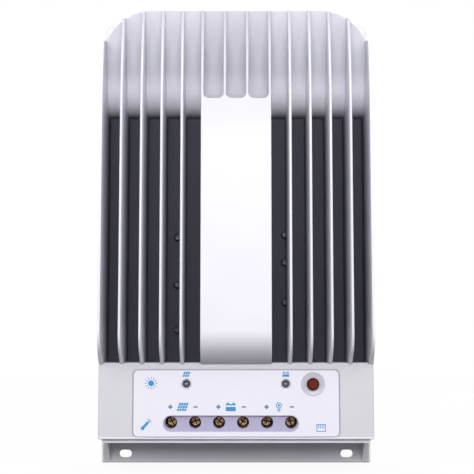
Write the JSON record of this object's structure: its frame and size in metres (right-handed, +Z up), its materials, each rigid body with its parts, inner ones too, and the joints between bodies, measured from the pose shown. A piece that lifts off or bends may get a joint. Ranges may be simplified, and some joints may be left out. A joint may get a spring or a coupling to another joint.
{
  "type": "solar charge controller",
  "caption": "Wall-mounted solar charge controller with a finned cast heat sink, a front terminal cover with screw clamps, status lamps and a push button.",
  "frame": {"origin": "middle of the wall face of the back plate", "axes": "+X to the right seen from the front, -Y towards the front, +Z up the wall"},
  "size_m": [0.1826, 0.0635, 0.3026],
  "materials": {
    "cast_light": "light silver-grey powder coat on a die casting",
    "plate_grey": "darker grey powder coat on a die casting",
    "cover_plastic": "light grey, finely textured moulding",
    "port_plastic": "grey moulding",
    "label_film": "pale printed film",
    "block_plastic": "flame-retardant moulding",
    "tinned_copper": "tinned",
    "screw_brass": "plated, slightly tarnished",
    "cage_steel": "zinc plated",
    "lamp_lens": "diffused epoxy lens",
    "button_red": "brown-red moulding",
    "bezel_grey": "grey moulding",
    "switch_black": "moulding",
    "board_green": "solder mask on glass-fibre laminate",
    "pin_gold": "gold flash",
    "ferrite": "sintered ferrite, sealed",
    "copper_wire": "enamelled copper",
    "can_sleeve": "shrink sleeve",
    "fet_black": "moulded epoxy",
    "pad_grey": "silicone sheet",
    "dark_screw": "blackened",
    "zinc_steel": "zinc plated",
    "spacer_brass": "turned",
    "film_sheet": "insulating film",
    "jack_plastic": "moulding"
  },
  "bodies": {
    "housing": {"back_plate": "plate_grey", "back_plate_screws": "zinc_steel", "battery_lamp": "lamp_lens", "board_screws": "zinc_steel", "board_spacers": "spacer_brass", "button_bezel": "bezel_grey", "capacitors": "can_sleeve", "control_chip": "fet_black", "cover_screws": "zinc_steel", "current_shunts": "copper_wire", "data_jack": "jack_plastic", "front_label": "label_film", "heat_sink": "cast_light", "indicator_board": "board_green", "inductor_coils": "copper_wire", "inductor_cores": "ferrite", "insulation_sheet": "film_sheet", "jack_contacts": "pin_gold", "link_headers": "switch_black", "link_pins": "pin_gold", "main_board": "board_green", "mosfet_nuts": "zinc_steel", "mosfet_screws": "dark_screw", "mosfets": "fet_black", "port_plate": "port_plastic", "pv_lamp": "lamp_lens", "sensor_pins": "pin_gold", "sensor_port": "jack_plastic", "tact_switch": "switch_black", "terminal_block": "block_plastic", "terminal_cover": "cover_plastic", "terminal_tabs": "tinned_copper", "thermal_pads": "pad_grey"},
    "screw_1": {"terminal_screw_1": "screw_brass"},
    "cage_1": {"clamp_cage_1": "cage_steel"},
    "screw_2": {"terminal_screw_2": "screw_brass"},
    "cage_2": {"clamp_cage_2": "cage_steel"},
    "screw_3": {"terminal_screw_3": "screw_brass"},
    "cage_3": {"clamp_cage_3": "cage_steel"},
    "screw_4": {"terminal_screw_4": "screw_brass"},
    "cage_4": {"clamp_cage_4": "cage_steel"},
    "screw_5": {"terminal_screw_5": "screw_brass"},
    "cage_5": {"clamp_cage_5": "cage_steel"},
    "screw_6": {"terminal_screw_6": "screw_brass"},
    "cage_6": {"clamp_cage_6": "cage_steel"},
    "button": {"load_button": "button_red", "switch_plunger": "switch_black"}
  },
  "joints": [
    {"name": "screw_turn_1", "type": "hinge", "parent": "housing", "child": "screw_1", "pos_m": [-0.0417, -0.0246, -0.12075], "axis": [0, 1, 0], "range_deg": [0, 2520]},
    {"name": "cage_lift_1", "type": "slide", "parent": "housing", "child": "cage_1", "axis": [0, -1, 0], "range_m": [0, 0.0049]},
    {"name": "screw_turn_2", "type": "hinge", "parent": "housing", "child": "screw_2", "pos_m": [-0.0263, -0.0246, -0.12075], "axis": [0, 1, 0], "range_deg": [0, 2520]},
    {"name": "cage_lift_2", "type": "slide", "parent": "housing", "child": "cage_2", "axis": [0, -1, 0], "range_m": [0, 0.0049]},
    {"name": "screw_turn_3", "type": "hinge", "parent": "housing", "child": "screw_3", "pos_m": [-0.0109, -0.0246, -0.12075], "axis": [0, 1, 0], "range_deg": [0, 2520]},
    {"name": "cage_lift_3", "type": "slide", "parent": "housing", "child": "cage_3", "axis": [0, -1, 0], "range_m": [0, 0.0049]},
    {"name": "screw_turn_4", "type": "hinge", "parent": "housing", "child": "screw_4", "pos_m": [0.0045, -0.0246, -0.12075], "axis": [0, 1, 0], "range_deg": [0, 2520]},
    {"name": "cage_lift_4", "type": "slide", "parent": "housing", "child": "cage_4", "axis": [0, -1, 0], "range_m": [0, 0.0049]},
    {"name": "screw_turn_5", "type": "hinge", "parent": "housing", "child": "screw_5", "pos_m": [0.0199, -0.0246, -0.12075], "axis": [0, 1, 0], "range_deg": [0, 2520]},
    {"name": "cage_lift_5", "type": "slide", "parent": "housing", "child": "cage_5", "axis": [0, -1, 0], "range_m": [0, 0.0049]},
    {"name": "screw_turn_6", "type": "hinge", "parent": "housing", "child": "screw_6", "pos_m": [0.0353, -0.0246, -0.12075], "axis": [0, 1, 0], "range_deg": [0, 2520]},
    {"name": "cage_lift_6", "type": "slide", "parent": "housing", "child": "cage_6", "axis": [0, -1, 0], "range_m": [0, 0.0049]},
    {"name": "button_press", "type": "slide", "parent": "housing", "child": "button", "axis": [0, 1, 0], "range_m": [0, 0.0005], "stiffness_N_per_m": 800, "springref_m": -0.001}
  ],
  "couplings": [
    {"joint": "screw_turn_1", "follows": "cage_lift_1", "rad_per_m": 8975.9},
    {"joint": "screw_turn_2", "follows": "cage_lift_2", "rad_per_m": 8975.9},
    {"joint": "screw_turn_3", "follows": "cage_lift_3", "rad_per_m": 8975.9},
    {"joint": "screw_turn_4", "follows": "cage_lift_4", "rad_per_m": 8975.9},
    {"joint": "screw_turn_5", "follows": "cage_lift_5", "rad_per_m": 8975.9},
    {"joint": "screw_turn_6", "follows": "cage_lift_6", "rad_per_m": 8975.9}
  ]
}
